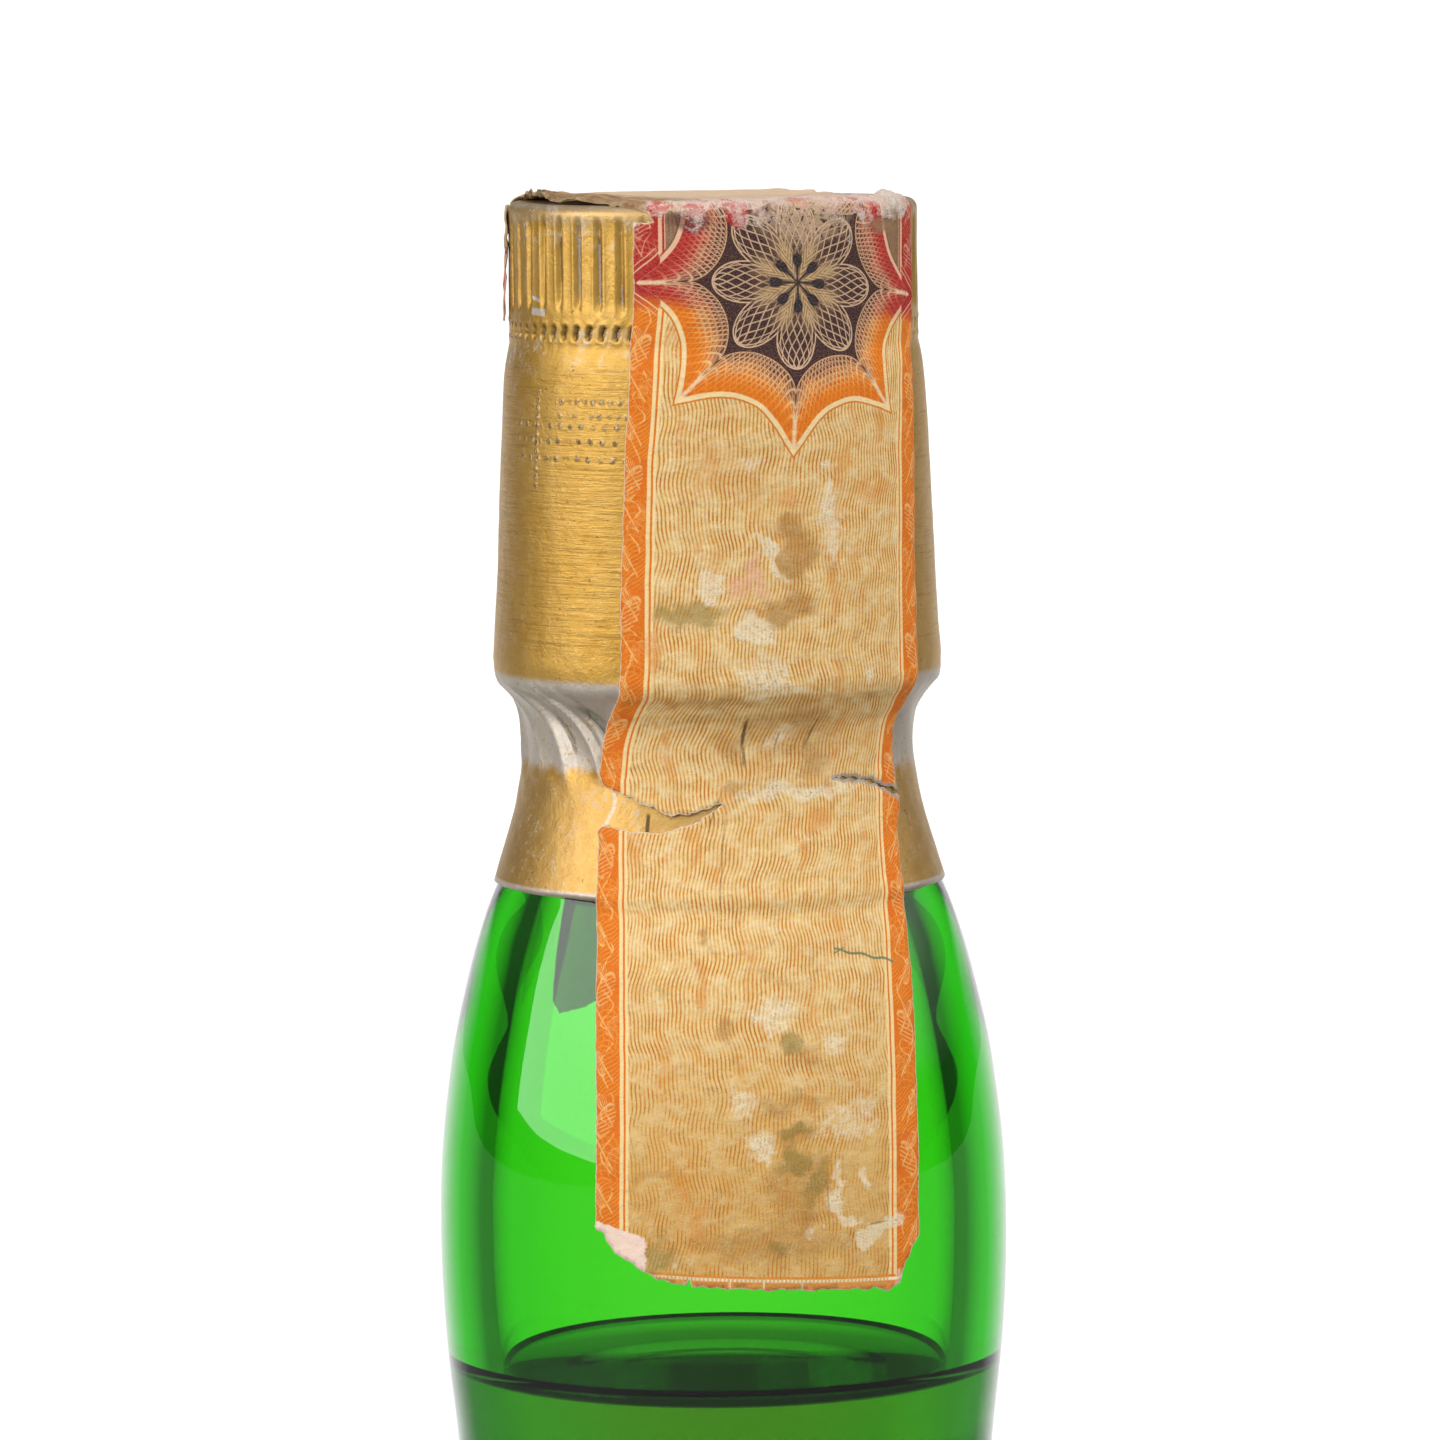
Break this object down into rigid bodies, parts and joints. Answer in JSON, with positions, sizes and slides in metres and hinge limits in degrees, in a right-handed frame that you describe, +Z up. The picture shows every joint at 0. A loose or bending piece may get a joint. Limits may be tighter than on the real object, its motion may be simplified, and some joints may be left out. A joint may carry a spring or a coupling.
{
  "type": "whisky bottle",
  "caption": "Round green glass whisky bottle with a bulb neck, part full, shut by a long-skirted gold aluminium screw closure under a paper tax strip.",
  "frame": {"origin": "on the bottle's axis, in the plane of the ring it stands on", "axes": "+Z up along the bottle's axis; -Y is the front, where the long leg of the paper strip lies"},
  "size_m": [0.081, 0.081, 0.2995],
  "materials": {
    "green_glass": "clear green bottle glass, smooth",
    "whisky": "clear amber liquid",
    "gold_aluminium": "gold lacquer, semi-matt, worn to bare metal at edges and folds",
    "printed_paper": "uncoated paper printed in orange and red line work, stained and torn"
  },
  "bodies": {
    "root": {"bottle": "green_glass", "whisky": "whisky", "closure": "gold_aluminium", "tax_strip": "printed_paper"}
  },
  "joints": []
}
